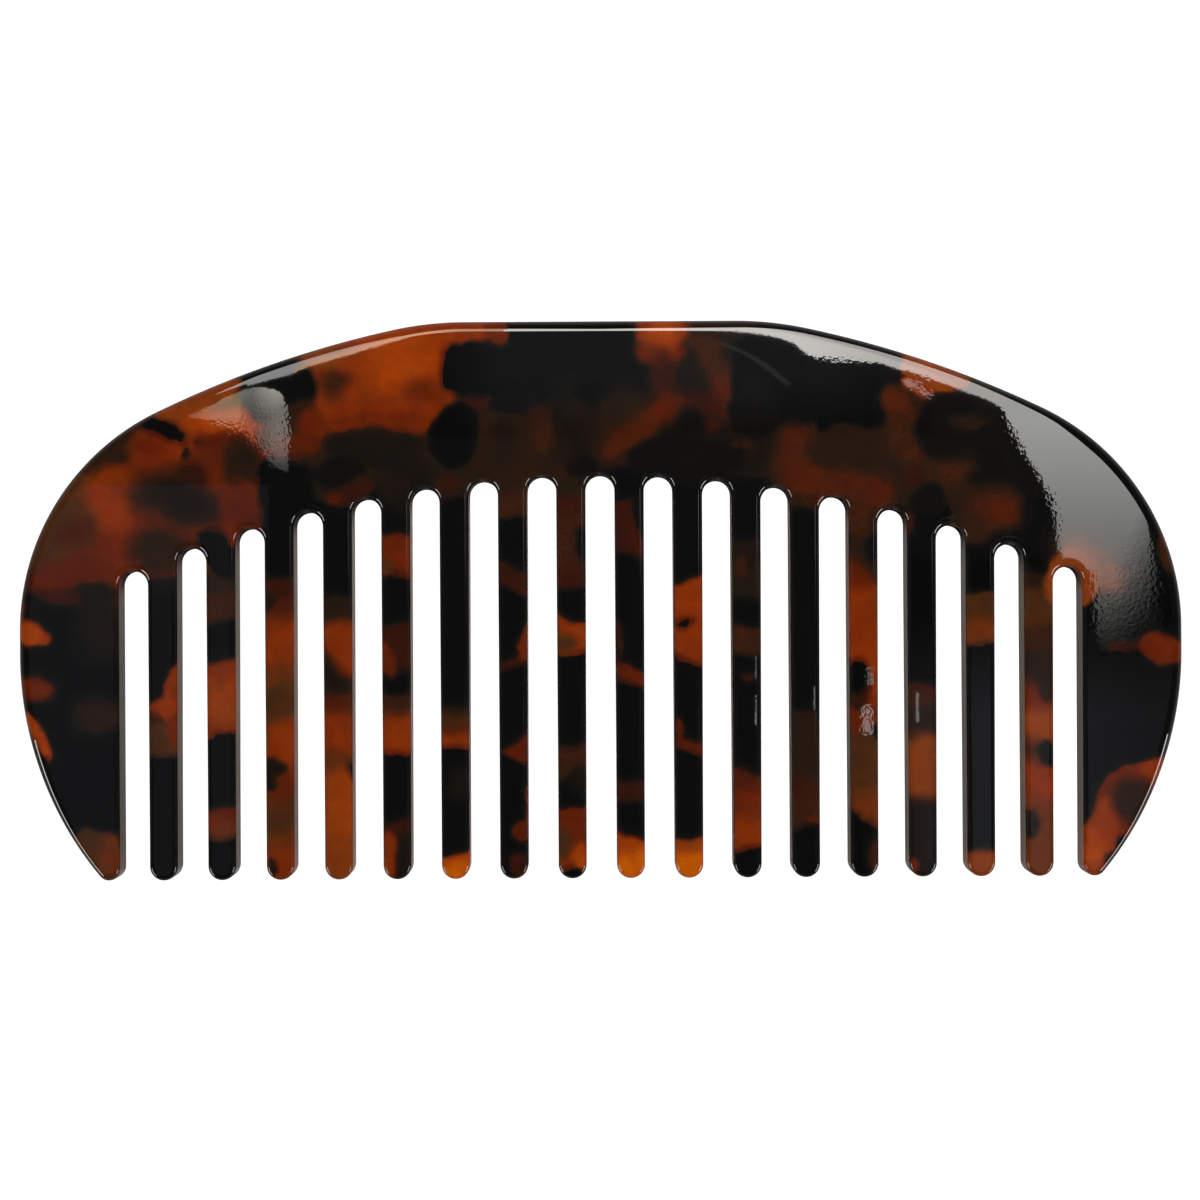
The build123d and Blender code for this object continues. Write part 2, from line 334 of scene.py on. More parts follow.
# Details over the ground and the bands, painted in order.
DETAILS = [
    # left shoulder
    cloud("olive", -54.9, 8.6, 6.2, 3.6, 58, soft=1.1),
    cloud("umber", -49.6, 15.9, 4.2, 1.5, 37, soft=0.5),
    cloud("amber", -50.0, 10.5, 2.6, 3.6, 8, soft=1.2),
    cloud("russet", -53.8, 6.9, 1.9, 1.3, 20),
    cloud("red", -54.6, 2.9, 4.4, 1.7, 12, soft=0.8),
    cloud("dull", -49.9, 4.9, 2.0, 1.8, soft=0.9),
    cloud("amber", -44.2, 16.6, 4.0, 2.2, 8, soft=1.2),
    cloud("dull", -46.2, 16.0, 2.2, 1.6, soft=1.2),
    cloud("honey", -41.0, 20.9, 5.0, 1.7, 25, soft=0.4),
    # Partly the sheet's own amber, partly painted glow: this cloud and the bright cloud at (-39.4, 18.4)
    # lighten the colour where the warm wedge's reflection falls, for its light inside the sheet.
    cloud("amber", -38.6, 18.7, 2.6, 1.2, 8, soft=0.7),
    chip("black", -44.7, 17.65, 2.3, 0.65, -26),
    cloud("deep", -41.1, 16.4, 0.5, 0.35, soft=0.3),
    cloud("deep", -42.6, 15.0, 0.4, 0.5, soft=0.3),
    cloud("red", -38.6, 16.2, 3.0, 1.5, soft=1.2),
    cloud("bright", -39.4, 18.4, 3.4, 1.2, -4, soft=0.9),
    cloud("umber", -44.8, 11.2, 3.4, 2.0, 12, soft=1.7),
    cloud("umber", -41.4, 9.9, 3.0, 2.0, -15, soft=1.5),
    cloud("maroon", -41.9, 12.9, 1.4, 1.3, soft=1.0),
    cloud("deep", -42.9, 10.5, 2.7, 1.3, -18, soft=1.4),
    cloud("umber", -36.7, 13.5, 1.9, 2.7, soft=0.8),
    cloud("red", -36.8, 9.6, 2.2, 2.6, soft=1.0),
    cloud("umber", -44.9, 5.0, 3.0, 2.6, soft=1.4),
    chip("black", -32.3, 8.5, 2.5, 6.0, 2),
    cloud("black", -39.7, 6.0, 1.6, 1.3, soft=CRISP),
    cloud("black", -38.6, 4.3, 1.9, 1.7, soft=CRISP),
    cloud("black", -33.2, 23.9, 3.6, 1.6, 22, soft=CRISP),
    cloud("black", -34.2, 20.8, 2.1, 1.9, soft=CRISP),
    # Partly the sheet's own amber, partly painted glow: the colour is lightened where the left softbox's
    # reflection falls, for its light inside the sheet.
    cloud("bright", -35.8, 17.6, 2.2, 1.1, -15, soft=0.6),
    cloud("black", -31.5, 22.0, 2.0, 1.8, soft=CRISP),
    cloud("umber", -30.2, 18.9, 2.3, 1.4, soft=0.9),
    cloud("brown", -33.9, 16.6, 1.4, 1.3),
    cloud("russet", -31.3, 15.9, 2.2, 1.2),
    cloud("deep", -52.5, 0.6, 3.0, 0.9, 6, soft=0.5),
    # left of the middle
    chip("amber", -22.0, 23.2, 7.3, 5.9, soft=0.6),
    cloud("bright", -20.3, 25.0, 4.4, 3.0, soft=1.8),
    cloud("dull", -22.5, 18.6, 5.2, 1.5, soft=1.2),
    cloud("honey", -28.4, 25.0, 2.6, 1.4, 25, soft=0.8),
    cloud("brown", -27.3, 22.2, 1.4, 1.5, soft=1.2),
    cloud("black", -30.2, 22.4, 0.8, 1.4, soft=CRISP),
    cloud("dull", -29.2, 17.9, 1.8, 1.9),
    cloud("deep", -22.9, 15.8, 5.2, 2.1, -3, soft=0.5),
    cloud("red", -29.6, 16.2, 1.1, 1.0),
    cloud("black", -27.2, 13.2, 2.9, 1.2, 5, soft=0.5),
    cloud("maroon", -25.6, 11.3, 2.7, 1.2, 15, soft=0.6),
    cloud("red", -27.4, 10.9, 0.9, 0.5, soft=0.4),
    cloud("deep", -19.8, 11.8, 3.0, 2.8, soft=0.9),
    cloud("black", -14.9, 16.9, 2.5, 3.3, -8, soft=0.6),
    cloud("black", -15.0, 17.0, 2.0, 2.8, -8, soft=CRISP),
    cloud("dull", -17.7, 21.4, 1.9, 1.1, soft=1.2),
    cloud("maroon", -12.7, 20.6, 1.5, 1.0, -15, soft=0.5),
    chip("black", -9.8, 23.6, 6.0, 2.6, -4),
    chip("black", -3.0, 25.2, 6.8, 4.7),
    chip("amber", -13.0, 28.2, 3.5, 1.9, soft=0.25),
    cloud("dull", -10.6, 27.6, 1.0, 1.5, soft=0.4),
    cloud("black", -8.3, 20.1, 3.0, 1.0, soft=0.4),
    cloud("deep", -2.4, 17.8, 2.9, 4.4, soft=1.0),
    cloud("maroon", -6.5, 18.9, 1.2, 1.3, soft=0.8),
    cloud("brown", -5.8, 16.9, 1.2, 1.8, soft=0.8),
    cloud("umber", -9.4, 13.8, 3.2, 3.0, soft=1.0),
    cloud("deep", -9.7, 17.3, 1.3, 1.3, soft=0.6),
    cloud("maroon", -15.3, 11.9, 1.3, 0.9, soft=0.5),
    cloud("black", -1.6, 13.5, 1.5, 1.1, soft=0.4),
    # right of the middle
    chip("black", 1.0, 24.8, 3.3, 4.4, -4),
    cloud("umber", 2.5, 18.2, 2.7, 3.4, soft=1.1),
    cloud("dull", 6.4, 25.6, 2.4, 1.6, soft=1.0),
    cloud("amber", 6.6, 27.6, 3.0, 1.7, soft=0.6),
    cloud("bright", 6.4, 27.4, 1.5, 0.8, soft=0.7),
    cloud("brown", 10.8, 26.4, 1.8, 1.0, -10, soft=0.8),
    cloud("maroon", 6.6, 22.8, 1.3, 2.7, soft=0.8),
    cloud("russet", 12.6, 21.6, 1.3, 2.9, 8, soft=1.2),
    cloud("brown", 11.2, 24.8, 1.6, 0.9, -45, soft=0.8),
    cloud("deep", 9.3, 23.0, 1.5, 1.8, soft=0.7),
    cloud("maroon", 9.6, 20.4, 2.8, 0.9, 10, soft=0.8),
    cloud("russet", 4.2, 17.5, 5.2, 1.7, 37, soft=1.2),
    cloud("red", 7.0, 19.4, 1.4, 1.0, 40, soft=0.9),
    cloud("black", 8.8, 14.4, 5.9, 2.5, soft=0.4),
    cloud("black", 9.7, 18.0, 1.4, 1.3, soft=0.5),
    cloud("maroon", 11.9, 17.9, 0.8, 0.6, soft=0.4),
    cloud("maroon", 11.7, 19.8, 1.4, 0.9, soft=0.6),
    cloud("maroon", 14.6, 15.7, 1.4, 0.4, soft=0.4),
    chip("black", 22.3, 22.8, 8.4, 5.2),
    cloud("black", 15.8, 19.2, 2.4, 3.0, soft=0.3),
    cloud("russet", 19.9, 15.0, 2.1, 2.9, soft=1.3),
    cloud("umber", 25.6, 15.3, 4.6, 2.0, soft=0.8),
    cloud("russet", 24.5, 11.4, 5.8, 2.2, -8, soft=1.0),
    cloud("brown", 26.3, 8.2, 1.7, 2.0),
    cloud("maroon", 22.1, 9.6, 0.7, 0.9, soft=0.4),
    cloud("maroon", 22.4, 4.6, 0.4, 0.5, soft=0.3),
    cloud("russet", 30.0, 20.5, 1.2, 1.5, soft=0.7),
    # right shoulder
    cloud("black", 30.3, 23.2, 1.4, 1.0, soft=0.2),
    cloud("honey", 34.4, 22.9, 3.8, 1.7, -18, soft=0.25),
    cloud("amber", 32.5, 21.7, 1.9, 0.8, -28, soft=0.3),
    cloud("russet", 30.9, 19.2, 1.2, 2.0, soft=0.8),
    cloud("brown", 31.6, 16.2, 2.2, 3.0, soft=1.0),
    cloud("black", 36.8, 17.2, 4.5, 3.7, soft=0.5),
    cloud("umber", 38.0, 18.0, 2.0, 1.0, soft=0.7),
    cloud("black", 41.5, 13.8, 4.3, 4.3, soft=0.3),
    cloud("brown", 35.6, 12.8, 3.0, 1.4, 18, soft=1.0),
    cloud("maroon", 32.0, 12.5, 1.2, 0.9, soft=0.5),
    cloud("black", 33.6, 10.3, 1.7, 1.7, soft=0.5),
    cloud("brown", 40.2, 8.9, 3.0, 2.4, soft=1.4),
    cloud("russet", 41.0, 8.8, 1.9, 1.5, 20, soft=1.2),
    cloud("brown", 38.4, 6.8, 1.2, 1.4, soft=0.6),
    cloud("maroon", 31.8, 7.7, 0.9, 1.2, soft=0.5),
    cloud("brown", 50.6, 4.0, 4.6, 2.5, -35, soft=1.4),
    cloud("tan", 50.8, 3.2, 4.0, 1.6, -38, soft=0.9),
    cloud("honey", 48.4, 1.8, 2.8, 3.2, soft=0.35),
    cloud("brown", 58.0, 5.0, 1.0, 2.4, soft=0.6),
    # left guard tooth
    cloud("maroon", -55.5, 0.6, 2.6, 0.8, soft=0.5),
    cloud("deep", -51.4, -2.2, 2.4, 3.6, soft=1.1),
    cloud("red", -59.3, -0.9, 0.9, 1.0, soft=0.4),
    cloud("amber", -57.5, -3.8, 1.3, 0.7, -12, soft=0.4),
    cloud("bright", -58.7, -3.1, 1.4, 1.3, -25, soft=0.5),
    cloud("dull", -58.2, -8.9, 2.3, 1.25, -5, soft=0.8),
    cloud("umber", -51.6, -11.7, 2.4, 1.7, soft=0.9),
    cloud("bright", -57.9, -13.8, 0.8, 3.0, 26, soft=0.4),
    cloud("olive", -52.2, -26.4, 3.2, 2.8, -12, soft=0.5),
    cloud("tan", -50.3, -26.2, 1.2, 2.2, soft=0.8),
    # right guard tooth
    cloud("maroon", 53.6, -5.0, 1.8, 0.6, 8, soft=0.5),
    cloud("dull", 57.9, -5.4, 2.9, 1.5, -20, soft=0.5),
    cloud("dull", 54.6, -20.6, 4.4, 3.7, 35, soft=0.3),
    cloud("amber", 56.6, -17.9, 1.3, 1.5, -30, soft=0.5),
    cloud("amber", 51.2, -24.5, 1.8, 4.4, -8, soft=0.4),
    cloud("umber", 54.4, -20.8, 2.2, 2.2, -30, soft=1.0),
    cloud("bright", 50.4, -26.0, 0.9, 2.6, soft=0.5),
    cloud("umber", 52.3, -26.8, 0.6, 0.8, -30, soft=0.3),
    # teeth, left to right
    cloud("amber", -43.9, -9.2, 1.1, 2.9, -10, soft=0.25),
    cloud("dull", -43.6, -13.4, 0.8, 1.9, soft=0.5),
    chip("black", -38.8, -14.4, 1.0, 0.8),
    cloud("deep", -34.0, -0.2, 0.7, 0.9, soft=0.4),
    cloud("deep", -33.5, -17.2, 1.4, 0.8, 10, soft=0.35),
    cloud("deep", -34.2, -18.6, 0.8, 1.0, soft=0.35),
    cloud("deep", -34.1, -27.2, 0.4, 0.9, soft=0.3),
    cloud("black", -25.2, -17.6, 0.35, 0.9, soft=CRISP),
    cloud("olive", -21.9, 3.4, 0.8, 0.7, soft=0.5),
    cloud("dull", -21.8, -6.0, 1.0, 2.0, 15, soft=0.5),
    cloud("amber", -21.8, -26.2, 1.0, 2.9, 4, soft=0.4),
    cloud("deep", -14.6, -19.0, 1.2, 1.5, soft=0.6),
    cloud("dull", -7.7, -4.4, 0.9, 2.1, soft=0.3),
    cloud("red", -7.7, -21.0, 0.6, 1.9, soft=0.3),
    cloud("red", -7.9, -23.6, 1.1, 1.2, 35, soft=0.35),
    cloud("maroon", -8.4, -27.2, 1.1, 1.5, soft=0.4),
    cloud("black", -1.6, 5.6, 0.8, 2.0, soft=0.3),
    cloud("olive", -3.3, -4.0, 1.1, 0.9, soft=0.5),
    cloud("deep", -2.6, -18.6, 0.9, 1.3, 20, soft=0.5),
    cloud("dull", -1.5, -17.5, 0.35, 2.6, soft=0.3),
    cloud("bright", -2.0, -26.4, 0.9, 1.5, soft=0.4),
    cloud("olive", -3.9, -25.0, 0.9, 1.7, soft=0.5),
    cloud("black", 4.5, 8.4, 0.9, 2.6, 12, soft=0.2),
    cloud("maroon", 1.7, -4.0, 0.5, 2.3, soft=0.3),
    cloud("black", 8.2, -2.5, 0.7, 0.45, soft=CRISP),
    cloud("red", 8.1, -13.2, 0.5, 1.3, soft=0.3),
    cloud("brown", 14.3, 3.2, 0.6, 1.2, soft=0.5),
    cloud("maroon", 15.2, -8.0, 0.9, 0.6, soft=0.4),
    cloud("maroon", 20.4, -19.0, 0.8, 1.5, soft=0.5),
    cloud("red", 21.8, -23.0, 1.2, 0.4, soft=0.3),
    cloud("black", 28.1, 5.2, 0.9, 1.3, soft=0.3),
    cloud("maroon", 26.4, -9.6, 1.1, 2.0, soft=0.4),
    cloud("black", 26.4, -8.1, 0.95, 1.7, soft=CRISP),
    cloud("black", 28.4, -13.9, 0.5, 0.9, soft=0.3),
    cloud("brown", 28.2, -26.3, 0.8, 1.8, soft=0.5),
    cloud("dull", 32.0, -27.2, 0.5, 0.7, soft=0.3),
    cloud("umber", 45.9, -8.0, 0.7, 2.6, soft=0.4),
    cloud("black", 46.0, -15.9, 1.0, 1.4, soft=0.3),
    cloud("deep", 44.0, -23.1, 0.8, 1.2, soft=0.4),
]

PATTERN_LEAN = (0.35, -0.175)  # the pattern's drift in x and y for each millimetre down into the sheet
WANDER = [(0.55, 0.30), (0.30, 0.80)]  # the pattern's straying: how far, and how quickly it changes
WANDER_SEED = 1794880899  # without a seed, the clock makes the pattern stray differently on every run
NO_INK = -3.0  # depth inside ink where there is none near
INK_FADE = 0.5  # how far into a crisp black patch the tone under it turns black
BAND_SOFTNESS = 0.5  # of a tooth's band under a black one
BLEND_SOFTNESS = 1.0  # of a tooth's band under one that is not black


def patch_depth(x, y, place, half_length, half_width, turn, squareness):
    """About how far inside a patch each point is, in millimetres; negative outside."""
    angle = math.radians(turn)
    dx, dy = x - place[0], y - place[1]
    along = (dx * math.cos(angle) + dy * math.sin(angle)) / half_length
    across = (dy * math.cos(angle) - dx * math.sin(angle)) / half_width
    p = squareness
    level = (np.abs(along) ** p + np.abs(across) ** p) ** (1 / p) + 1e-6  # never zero
    steep_along = (np.abs(along) / level) ** (p - 1) / half_length
    steep_across = (np.abs(across) / level) ** (p - 1) / half_width
    return (1.0 - level) / np.hypot(steep_along, steep_across)


class Pattern:
    """The painted state at each point: depth inside ink, tone and olive."""

    def __init__(self, count):
        tone, olive = COLOURS[BASE_COLOUR]
        self.ink = np.full(count, NO_INK)
        self.tone = np.full(count, tone)
        self.olive = np.full(count, olive)

    def paint(self, colour, depth, soft, where=slice(None)):
        """Lays one colour over what is there, by the depth of each point inside the patch."""
        tone, olive = COLOURS[colour]
        if colour == "black" and soft <= CRISP:
            self.ink[where] = np.maximum(self.ink[where], depth)
            weight = ease(depth, 0.0, INK_FADE)
        else:
            self.ink[where] = np.minimum(self.ink[where], -(depth + soft))
            weight = ease(depth, -soft, soft)
        self.tone[where] += (tone - self.tone[where]) * weight
        self.olive[where] += (olive - self.olive[where]) * weight


def wander(points):
    """How far the pattern strays at each point, so that no patch keeps its plain outline."""
    noise.seed_set(WANDER_SEED)
    return np.array([
        sum(size * np.array(noise.noise_vector(Vector(p) * pace)) for size, pace in WANDER) for p in points
    ])


def pattern_at(points):
    """Ink, tone and olive for each point of a skin, by its place in the sheet."""
    depth_down = THICKNESS - points[:, 2]
    stray = wander(points)
    x = points[:, 0] + PATTERN_LEAN[0] * depth_down + stray[:, 0]
    y = points[:, 1] + PATTERN_LEAN[1] * depth_down + stray[:, 1]
    state = Pattern(len(points))

    def paint_patches(patches):
        for colour, px, py, half_length, half_width, turn, soft, squareness in patches:
            depth = patch_depth(x, y, (px, py), half_length, half_width, turn, squareness)
            state.paint(colour, depth, soft)

    paint_patches(GROUND)
    for index, bands in enumerate(TOOTH_BANDS):
        centre = slot_centres()[index] + TOOTH_PITCH / 2
        near = np.abs(points[:, 0] - centre) < TOOTH_PITCH / 2
        if not near.any():
            continue
        local_x, local_y = x[near] - centre, y[near]
        colour_above = "black"
        for colour, height, slope in bands:
            depth = (height + slope * local_x - local_y) / math.hypot(1, slope)
            if colour == "black":
                soft = CRISP
            else:
                soft = BAND_SOFTNESS if colour_above == "black" else BLEND_SOFTNESS
            state.paint(colour, depth, soft, near)
            colour_above = colour
    paint_patches(DETAILS)
    return state


# ---------------------------------------------------------------- skins
def roll_profile():
    """Rows of the edge from the back face round to the front face.

    Each row is (inset, drop, outward part of the normal, face-ward part, side). side is -1 on the back edge,
    1 on the front edge and 0 on the wall between them. inset and drop are shares of the roll's size, and on
    the wall drop is the share of the way up it.
    """
    rows = []
    for step in range(ROLL_STEPS + 1):
        t = math.radians(90.0 * step / ROLL_STEPS)
        u, v = math.cos(t) ** (2 / ROLL_FULLNESS), math.sin(t) ** (2 / ROLL_FULLNESS)
        rows.append((1.0 - u, 1.0 - v, u ** (ROLL_FULLNESS - 1), v ** (ROLL_FULLNESS - 1), 1))
    back = [row[:4] + (-1,) for row in reversed(rows)]
    wall = [(0.0, (index + 1) / (WALL_ROWS + 1), 1.0, 0.0, 0) for index in range(WALL_ROWS)]
    return back + wall + rows


PROFILE = roll_profile()


def swept_rows(path):
    """Vertices and normals of an edge, as arrays of path points by profile rows by 3."""
    place, outward, inward_roll, down_roll = path[:, :2], path[:, 2:4], path[:, 4], path[:, 5]
    vertices, normals = [], []
    for inset, drop, out_part, up_part, side in PROFILE:
        flat = place - outward * (inward_roll * inset)[:, None]
        if side == 0:
            z = down_roll + (THICKNESS - 2 * down_roll) * drop
        elif side > 0:
            z = THICKNESS - down_roll * drop
        else:
            z = down_roll * drop
        vertices.append(np.column_stack([flat, z]))
        slope = np.column_stack([outward * (out_part / inward_roll)[:, None], side * up_part / down_roll])
        normals.append(slope / np.linalg.norm(slope, axis=1)[:, None])
    return np.stack(vertices, axis=1), np.stack(normals, axis=1)


class Skin:
    """Vertices, faces and one normal for each face corner of a closed mesh."""

    def __init__(self):
        self.vertices, self.normals, self.faces, self.flat_normals = [], [], [], []
        self.count = 0

    def add(self, vertices, normals):
        first = self.count
        self.vertices.append(np.asarray(vertices, float).reshape(-1, 3))
        self.normals.append(np.asarray(normals, float).reshape(-1, 3))
        self.count += len(self.vertices[-1])
        return np.arange(first, self.count)

    def face(self, corners, flat_normal=None):
        self.faces.append(tuple(int(c) for c in corners))
        self.flat_normals.append(flat_normal)


def add_edge(skin, path):
    """The rolled edge along a path; returns its vertex numbers by path point and profile row."""
    vertices, normals = swept_rows(path)
    index = skin.add(vertices, normals).reshape(vertices.shape[:2])
    for i in range(index.shape[0] - 1):
        for k in range(index.shape[1] - 1):
            skin.face((index[i, k], index[i + 1, k], index[i + 1, k + 1], index[i, k + 1]))
    return index


def add_cut(skin, from_index, to_index):
    """The flat face from the end of one edge to the start of the next; returns its own face-line points."""
    vertices = np.vstack(skin.vertices)
    start, end = vertices[from_index[-1, 0]][:2], vertices[to_index[0, 0]][:2]
    count = max(1, round(np.linalg.norm(end - start) / FACE_STEP)) - 1
    steps = (np.arange(count) + 1)[:, None] / (count + 1)
    line = start + (end - start) * steps
    low = skin.add(np.column_stack([line, np.zeros(count)]), np.tile((0.0, 0.0, -1.0), (count, 1)))
    high = skin.add(np.column_stack([line, np.full(count, THICKNESS)]), np.tile((0.0, 0.0, 1.0), (count, 1)))
    direction = (end - start) / np.linalg.norm(end - start)
    corners = [from_index[-1, 0], *low, *to_index[0, :], *high[::-1], *from_index[-1, :0:-1]]
    skin.face(corners, (direction[1], -direction[0], 0.0))
    return low, high


def add_face_pair(skin, low_loop, high_loop):
    """The two broad faces inside the rolled edges: one triangulation, used for the front and the back."""
    vertices = np.vstack(skin.vertices)
    loop = vertices[high_loop][:, :2]
    tree = kdtree.KDTree(len(loop))
    for index, point in enumerate(loop):
        tree.insert((point[0], point[1], 0.0), index)
    tree.balance()
    low, high = loop.min(axis=0), loop.max(axis=0)
    rows = np.arange(low[1], high[1], FACE_STEP * math.sqrt(0.75))  # of equal-sided triangles
    inner = []
    for number, y in enumerate(rows):
        for x in np.arange(low[0] + FACE_STEP / 2 * (number % 2), high[0], FACE_STEP):
            if tree.find((x, y, 0.0))[2] > FACE_CLEARANCE:
                inner.append((x, y))
    flat = [Vector(p) for p in loop] + [Vector(p) for p in inner]
    edges = [(i, (i + 1) % len(loop)) for i in range(len(loop))]
    points, _, triangles, origins, _, _ = delaunay_2d_cdt(flat, edges, [], INSIDE_ONLY, MERGE_DISTANCE)
    used = sorted({corner for triangle in triangles for corner in triangle})
    new = [corner for corner in used if origins[corner][0] >= len(loop)]
    place = np.array([points[corner] for corner in new])
    back = skin.add(np.column_stack([place, np.zeros(len(new))]), np.tile((0.0, 0.0, -1.0), (len(new), 1)))
    front = skin.add(np.column_stack([place, np.full(len(new), THICKNESS)]),
                     np.tile((0.0, 0.0, 1.0), (len(new), 1)))
    order = {corner: number for number, corner in enumerate(new)}

    def to_skin(corner, loop_index, own_index):
        origin = origins[corner][0]
        return loop_index[origin] if origin < len(loop) else own_index[order[corner]]

    for a, b, c in triangles:
        pa, pb, pc = points[a], points[b], points[c]
        if (pb - pa).cross(pc - pa) < 0:
            b, c = c, b
        skin.face([to_skin(corner, high_loop, front) for corner in (a, b, c)])
        skin.face([to_skin(corner, low_loop, back) for corner in (c, b, a)])


def polished_skin(node, paths, material):
    """One node's closed, polished mesh with its pattern, riding and replacing as the frame asks."""
    skin = Skin()
    indices = [add_edge(skin, path) for path in paths]
    low_loop, high_loop = [], []
    for index, following in zip(indices, indices[1:] + indices[:1]):
        low, high = add_cut(skin, index, following)
        low_loop += [*index[:, 0], *low]
        high_loop += [*index[:, -1], *high]
    add_face_pair(skin, low_loop, high_loop)

    vertices, normals = np.vstack(skin.vertices), np.vstack(skin.normals)
    mesh = bpy.data.meshes.new(f"polished_{node}")
    mesh.from_pydata((vertices * MM).tolist(), [], skin.faces)
    mesh.polygons.foreach_set("use_smooth", [True] * len(mesh.polygons))
    corner_normals = []
    for corners, flat in zip(skin.faces, skin.flat_normals):
        corner_normals += [flat] * len(corners) if flat else normals[list(corners)].tolist()
    mesh.normals_split_custom_set(corner_normals)
    state = pattern_at(vertices)
    for name, values in (("ink", state.ink), ("tone", state.tone), ("olive", state.olive)):
        layer = mesh.attributes.new(name, "FLOAT", "POINT")
        layer.data.foreach_set("value", np.clip(values, NO_INK, -NO_INK).astype(np.float32))
    mesh.materials.append(material)
    piece = bpy.data.objects.new(f"polished_{node}", mesh)
    bpy.context.scene.collection.objects.link(piece)
    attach(piece, "root")
    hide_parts(node)


# ---------------------------------------------------------------- material
LIGHT_LEVEL = 1.5  # what the studio light makes of a matt surface's own colour


def seen(red, green, blue):
    """A surface colour from the colour that it shows under the studio light, both 0 to 255."""
    def linear(value):
        value /= 255
        return value / 12.92 if value <= 0.04045 else ((value + 0.055) / 1.055) ** 2.4
    return [linear(value) / LIGHT_LEVEL for value in (red, green, blue)] + [1.0]


# The lightest stops of both ramps serve mainly the painted tip glow: light through the thin tooth tips, put
# into the colour.
RED_TONES = [
    (0.00, seen(198, 94, 2)), (0.12, seen(168, 70, 8)), (0.22, seen(150, 56, 7)), (0.32, seen(126, 44, 7)),
    (0.45, seen(98, 32, 7)), (0.58, seen(74, 25, 9)), (0.70, seen(50, 21, 12)), (0.82, seen(33, 20, 16)),
    (0.92, seen(22, 17, 16)), (1.00, seen(16, 15, 15)),
]
OLIVE_TONES = [
    (0.00, seen(165, 86, 18)), (0.22, seen(132, 66, 18)), (0.35, seen(102, 54, 20)), (0.50, seen(70, 41, 20)),
    (0.62, seen(54, 33, 18)), (0.75, seen(39, 27, 18)), (0.88, seen(26, 21, 16)), (1.00, seen(16, 15, 14)),
]
BLACK = seen(11, 11, 11)


class Nodes:
    """Short calls for building a shader tree."""

    def __init__(self, tree):
        self.tree = tree
        tree.nodes.clear()

    def node(self, kind, **settings):
        made = self.tree.nodes.new(kind)
        for name, value in settings.items():
            setattr(made, name, value)
        return made

    def feed(self, socket, value):
        """Links another node's output to the socket, or sets the socket to a plain value."""
        if isinstance(value, bpy.types.NodeSocket):
            self.tree.links.new(value, socket)
        else:
            socket.default_value = value

    def math(self, operation, a, b=0.0, clamp=False):
        made = self.node("ShaderNodeMath", operation=operation, use_clamp=clamp)
        self.feed(made.inputs[0], a)
        self.feed(made.inputs[1], b)
        return made.outputs[0]

    def scaled_noise(self, place, scale, detail, size, distortion=0.0):
        """Noise between -size and size, with a mean of about zero."""
        made = self.node("ShaderNodeTexNoise", noise_dimensions="3D")
        self.feed(made.inputs["Vector"], place)
        made.inputs["Scale"].default_value = scale
        made.inputs["Detail"].default_value = detail
        made.inputs["Distortion"].default_value = distortion
        return self.math("MULTIPLY", self.math("SUBTRACT", made.outputs["Fac"], 0.5), 2.0 * size)

    def span(self, value, low, high, to_low=0.0, to_high=1.0, smooth=False):
        """value carried from between low and high to between to_low and to_high, and held at the ends."""
        made = self.node("ShaderNodeMapRange", interpolation_type="SMOOTHSTEP" if smooth else "LINEAR")
        for socket, given in zip(("Value", "From Min", "From Max", "To Min", "To Max"),
                                 (value, low, high, to_low, to_high)):
            self.feed(made.inputs[socket], given)
        return made.outputs["Result"]

    def near(self, place, spot, reach, size):
        """size at the spot, falling to 0 at its reach."""
        made = self.node("ShaderNodeVectorMath", operation="DISTANCE")
        self.feed(made.inputs[0], place)
        made.inputs[1].default_value = spot
        return self.span(made.outputs["Value"], 0.0, reach, size, 0.0, smooth=True)

    def ramp(self, value, stops):
        made = self.node("ShaderNodeValToRGB")
        self.feed(made.inputs[0], value)
        elements = made.color_ramp.elements
        while len(elements) < len(stops):
            elements.new(0.5)
        for element, (position, colour) in zip(elements, stops):
            element.position = position
            element.color = colour
        return made.outputs[0]

    def mix(self, factor, a, b):
        """A colour between a and b; the node's colour sockets are inputs 6 and 7 and output 2."""
        made = self.node("ShaderNodeMix", data_type="RGBA")
        self.feed(made.inputs[0], factor)
        self.feed(made.inputs[6], a)
        self.feed(made.inputs[7], b)
        return made.outputs[2]

    def attribute(self, name):
        return self.node("ShaderNodeAttribute", attribute_name=name).outputs["Fac"]


# Where buffing left a fine ripple in the front face: x, y, reach and strength.
RIPPLE_SPOTS = [
    (24.5, 24.6, 5.5, 0.45), (33.0, 21.4, 2.5, 0.5), (42.5, 16.5, 5.0, 0.6), (46.5, 9.0, 7.5, 0.75),
    (54.0, 0.0, 8.5, 1.7), (-34.2, 17.2, 5.0, 1.1), (-38.0, 17.6, 4.0, 0.8), (27.4, -12.5, 2.5, 1.0),
    (27.6, -8.0, 1.5, 0.6),
]
PLAIN_RIPPLE = 0.08  # its strength everywhere else
RIPPLE_HEIGHT = 0.001
POLISH_ROUGHNESS = 0.014
ACETATE_IOR = 1.49


